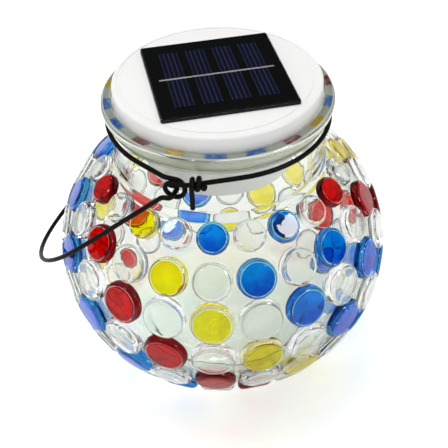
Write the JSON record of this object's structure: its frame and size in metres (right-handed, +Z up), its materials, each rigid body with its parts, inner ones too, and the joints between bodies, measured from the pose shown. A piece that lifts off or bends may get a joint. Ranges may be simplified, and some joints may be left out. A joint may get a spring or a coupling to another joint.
{
  "type": "glass ball lantern",
  "caption": "Ball-shaped glass garden lantern set with round coloured glass gems, with a white solar plug lid and a black wire bail.",
  "frame": {"origin": "centre of the foot, on the surface that the jar stands on", "axes": "+Z up along the jar axis, Y along the hinge line of the bail, the bail hanging on the -X side at rest"},
  "size_m": [0.1458, 0.1346, 0.1274],
  "materials": {
    "jar_glass": "clear pressed glass",
    "gem_clear": "clear glass",
    "gem_blue": "blue glass",
    "gem_red": "red glass",
    "gem_yellow": "yellow glass",
    "cap_white": "satin moulded white",
    "housing_white": "moulded white",
    "seal_silicone": "silicone",
    "screw_steel": "zinc plated",
    "battery_sleeve": "plain shrink sleeve",
    "contact_nickel": "nickel plated",
    "circuit_green": "solder mask",
    "lamp_epoxy": "clear epoxy",
    "lead_tin": "tinned",
    "switch_black": "moulded black",
    "lead_red": "insulation",
    "lead_black": "insulation",
    "panel_black": "black board",
    "cell_blue": "dark blue silicon with fine grid lines",
    "ribbon_silver": "tinned ribbon",
    "panel_resin": "clear cast resin",
    "wire_black": "black coated wire"
  },
  "bodies": {
    "jar": {"glass_jar": "jar_glass", "blue_gems_row_1": "gem_blue", "blue_gems_row_2": "gem_blue", "blue_gems_row_3": "gem_blue", "blue_gems_row_4": "gem_blue", "blue_gems_row_5": "gem_blue", "blue_gems_row_6": "gem_blue", "clear_gems_row_1": "gem_clear", "clear_gems_row_2": "gem_clear", "clear_gems_row_3": "gem_clear", "clear_gems_row_4": "gem_clear", "clear_gems_row_5": "gem_clear", "clear_gems_row_6": "gem_clear", "red_gems_row_1": "gem_red", "red_gems_row_2": "gem_red", "red_gems_row_3": "gem_red", "red_gems_row_4": "gem_red", "red_gems_row_5": "gem_red", "red_gems_row_6": "gem_red", "yellow_gems_row_1": "gem_yellow", "yellow_gems_row_2": "gem_yellow", "yellow_gems_row_3": "gem_yellow", "yellow_gems_row_4": "gem_yellow", "yellow_gems_row_5": "gem_yellow", "yellow_gems_row_6": "gem_yellow", "neck_wire": "wire_black", "eye_wraps": "wire_black"},
    "lid": {"lid_cap": "cap_white", "lid_gasket": "seal_silicone", "lamp_housing": "housing_white", "lid_screws": "screw_steel", "battery_door": "housing_white", "door_screws": "screw_steel", "led_bulb": "lamp_epoxy", "panel_board": "panel_black", "panel_resin": "panel_resin", "battery_cell": "battery_sleeve", "positive_contact": "contact_nickel", "negative_contact": "contact_nickel", "circuit_board": "circuit_green", "led_leads": "lead_tin", "switch_body": "switch_black", "panel_lead_positive": "lead_red", "panel_lead_negative": "lead_black", "solar_cells": "cell_blue", "cell_ribbon": "ribbon_silver"},
    "bail": {"bail_handle": "wire_black"},
    "switch": {"switch_slider": "switch_black"}
  },
  "joints": [
    {"name": "lid_lift", "type": "slide", "parent": "jar", "child": "lid", "axis": [0, 0, 1], "range_m": [0, 0.06]},
    {"name": "bail_swing", "type": "hinge", "parent": "jar", "child": "bail", "pos_m": [0, 0, 0.10585], "axis": [0, 1, 0], "range_deg": [0, 260]},
    {"name": "switch_slide", "type": "slide", "parent": "lid", "child": "switch", "axis": [0.8517, 0.524, 0], "range_m": [0, 0.002]}
  ]
}
